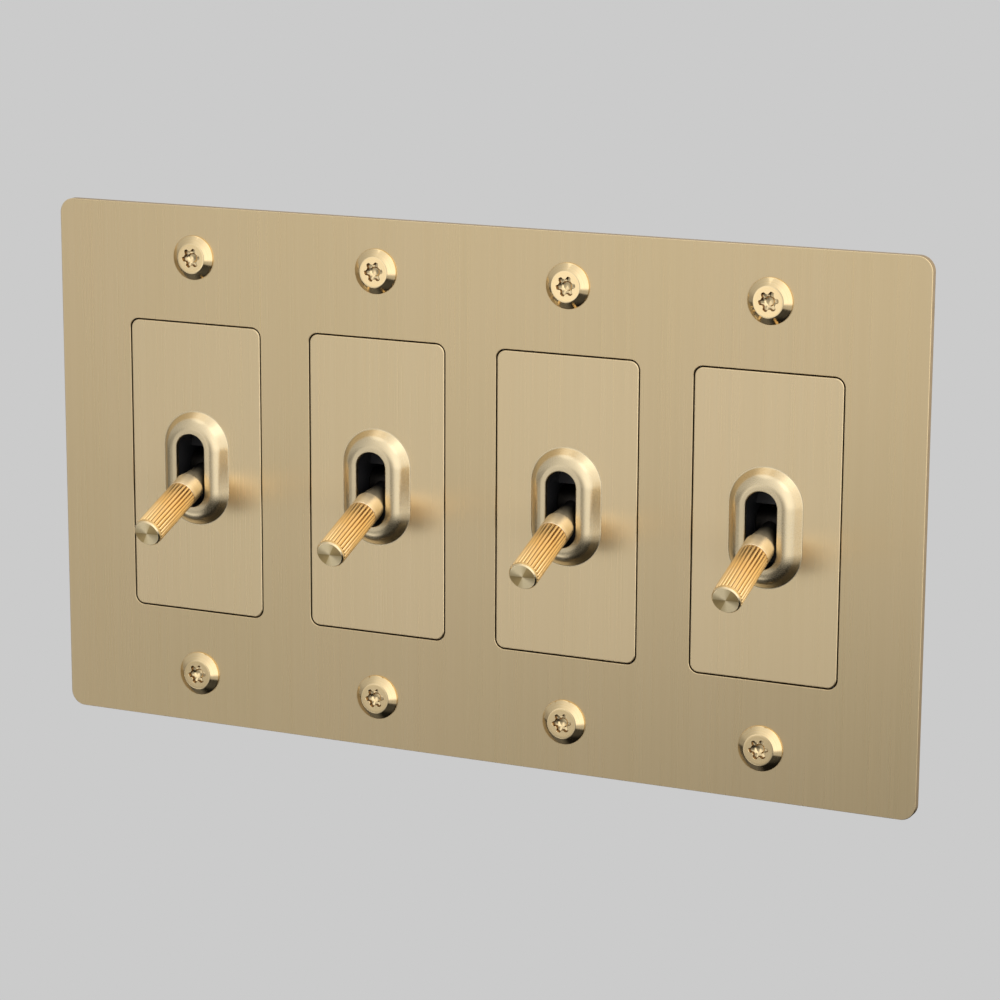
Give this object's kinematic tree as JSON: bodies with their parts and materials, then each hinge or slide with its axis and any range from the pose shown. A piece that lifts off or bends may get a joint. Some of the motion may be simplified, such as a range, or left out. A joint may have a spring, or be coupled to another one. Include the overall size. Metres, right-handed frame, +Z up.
{
  "type": "toggle wall switch",
  "caption": "Brass ganged toggle wall switch: flat cover plate, decorator-size metal panels with raised oval rings, ridged levers, and switch bodies behind.",
  "frame": {"origin": "centre of the cover plate's back face, where it lies on the wall", "axes": "+X to the right of somebody facing the plate, +Y into the wall, +Z up; the levers stick out towards -Y"},
  "size_m": [0.208, 0.0498, 0.12],
  "materials": {
    "plate_brass": "satin brushed",
    "panel_brass": "satin brushed",
    "lever_brass": "satin brushed",
    "grip_brass": "polished",
    "cap_brass": "turned",
    "screw_brass": "polished",
    "black_moulding": "matte",
    "plunger_nylon": "matte",
    "yoke_steel": "zinc plated",
    "zinc_steel": "zinc plated",
    "pin_steel": "ground",
    "spring_steel": "drawn wire",
    "contact_brass": "rolled",
    "terminal_brass": "turned",
    "green_steel": "green dyed"
  },
  "bodies": {
    "housing": {"front_plate": "plate_brass", "plate_screws": "screw_brass", "box_screws": "zinc_steel", "panel_screws": "zinc_steel", "terminal_screws": "terminal_brass", "ground_screws": "green_steel", "body_rivets": "zinc_steel", "insert_panel_1": "panel_brass", "yoke_1": "yoke_steel", "front_frame_1": "black_moulding", "back_body_1": "black_moulding", "pivot_pin_1": "pin_steel", "common_terminal_1": "contact_brass", "switched_terminal_1": "contact_brass", "insert_panel_2": "panel_brass", "yoke_2": "yoke_steel", "front_frame_2": "black_moulding", "back_body_2": "black_moulding", "pivot_pin_2": "pin_steel", "common_terminal_2": "contact_brass", "switched_terminal_2": "contact_brass", "insert_panel_3": "panel_brass", "yoke_3": "yoke_steel", "front_frame_3": "black_moulding", "back_body_3": "black_moulding", "pivot_pin_3": "pin_steel", "common_terminal_3": "contact_brass", "switched_terminal_3": "contact_brass", "insert_panel_4": "panel_brass", "yoke_4": "yoke_steel", "front_frame_4": "black_moulding", "back_body_4": "black_moulding", "pivot_pin_4": "pin_steel", "common_terminal_4": "contact_brass", "switched_terminal_4": "contact_brass"},
    "toggle_1": {"toggle_stem_1": "lever_brass", "toggle_grip_1": "grip_brass", "toggle_cap_1": "cap_brass", "plunger_spring_1": "spring_steel"},
    "plunger_1": {"plunger_1": "plunger_nylon"},
    "rocker_1": {"contact_rocker_1": "contact_brass"},
    "toggle_2": {"toggle_stem_2": "lever_brass", "toggle_grip_2": "grip_brass", "toggle_cap_2": "cap_brass", "plunger_spring_2": "spring_steel"},
    "plunger_2": {"plunger_2": "plunger_nylon"},
    "rocker_2": {"contact_rocker_2": "contact_brass"},
    "toggle_3": {"toggle_stem_3": "lever_brass", "toggle_grip_3": "grip_brass", "toggle_cap_3": "cap_brass", "plunger_spring_3": "spring_steel"},
    "plunger_3": {"plunger_3": "plunger_nylon"},
    "rocker_3": {"contact_rocker_3": "contact_brass"},
    "toggle_4": {"toggle_stem_4": "lever_brass", "toggle_grip_4": "grip_brass", "toggle_cap_4": "cap_brass", "plunger_spring_4": "spring_steel"},
    "plunger_4": {"plunger_4": "plunger_nylon"},
    "rocker_4": {"contact_rocker_4": "contact_brass"}
  },
  "joints": [
    {"name": "toggle_1_swing", "type": "hinge", "parent": "housing", "child": "toggle_1", "pos_m": [-0.06906, 0.004, 0], "axis": [-1, 0, 0], "range_deg": [0, 41]},
    {"name": "rocker_1_tilt", "type": "hinge", "parent": "housing", "child": "rocker_1", "pos_m": [-0.06906, 0.017, 0], "axis": [-1, 0, 0], "range_deg": [-10.25, 0]},
    {"name": "plunger_1_press", "type": "slide", "parent": "toggle_1", "child": "plunger_1", "axis": [0, 0.9367, 0.3502], "range_m": [-0.0008, 0], "stiffness_N_per_m": 600, "deforming": ["plunger_spring_1"]},
    {"name": "toggle_2_swing", "type": "hinge", "parent": "housing", "child": "toggle_2", "pos_m": [-0.02302, 0.004, 0], "axis": [-1, 0, 0], "range_deg": [0, 41]},
    {"name": "rocker_2_tilt", "type": "hinge", "parent": "housing", "child": "rocker_2", "pos_m": [-0.02302, 0.017, 0], "axis": [-1, 0, 0], "range_deg": [-10.25, 0]},
    {"name": "plunger_2_press", "type": "slide", "parent": "toggle_2", "child": "plunger_2", "axis": [0, 0.9367, 0.3502], "range_m": [-0.0008, 0], "stiffness_N_per_m": 600, "deforming": ["plunger_spring_2"]},
    {"name": "toggle_3_swing", "type": "hinge", "parent": "housing", "child": "toggle_3", "pos_m": [0.02302, 0.004, 0], "axis": [-1, 0, 0], "range_deg": [0, 41]},
    {"name": "rocker_3_tilt", "type": "hinge", "parent": "housing", "child": "rocker_3", "pos_m": [0.02302, 0.017, 0], "axis": [-1, 0, 0], "range_deg": [-10.25, 0]},
    {"name": "plunger_3_press", "type": "slide", "parent": "toggle_3", "child": "plunger_3", "axis": [0, 0.9367, 0.3502], "range_m": [-0.0008, 0], "stiffness_N_per_m": 600, "deforming": ["plunger_spring_3"]},
    {"name": "toggle_4_swing", "type": "hinge", "parent": "housing", "child": "toggle_4", "pos_m": [0.06906, 0.004, 0], "axis": [-1, 0, 0], "range_deg": [0, 41]},
    {"name": "rocker_4_tilt", "type": "hinge", "parent": "housing", "child": "rocker_4", "pos_m": [0.06906, 0.017, 0], "axis": [-1, 0, 0], "range_deg": [-10.25, 0]},
    {"name": "plunger_4_press", "type": "slide", "parent": "toggle_4", "child": "plunger_4", "axis": [0, 0.9367, 0.3502], "range_m": [-0.0008, 0], "stiffness_N_per_m": 600, "deforming": ["plunger_spring_4"]}
  ],
  "couplings": [
    {"joint": "rocker_1_tilt", "follows": "toggle_1_swing", "ratio": -0.25},
    {"joint": "rocker_2_tilt", "follows": "toggle_2_swing", "ratio": -0.25},
    {"joint": "rocker_3_tilt", "follows": "toggle_3_swing", "ratio": -0.25},
    {"joint": "rocker_4_tilt", "follows": "toggle_4_swing", "ratio": -0.25}
  ]
}
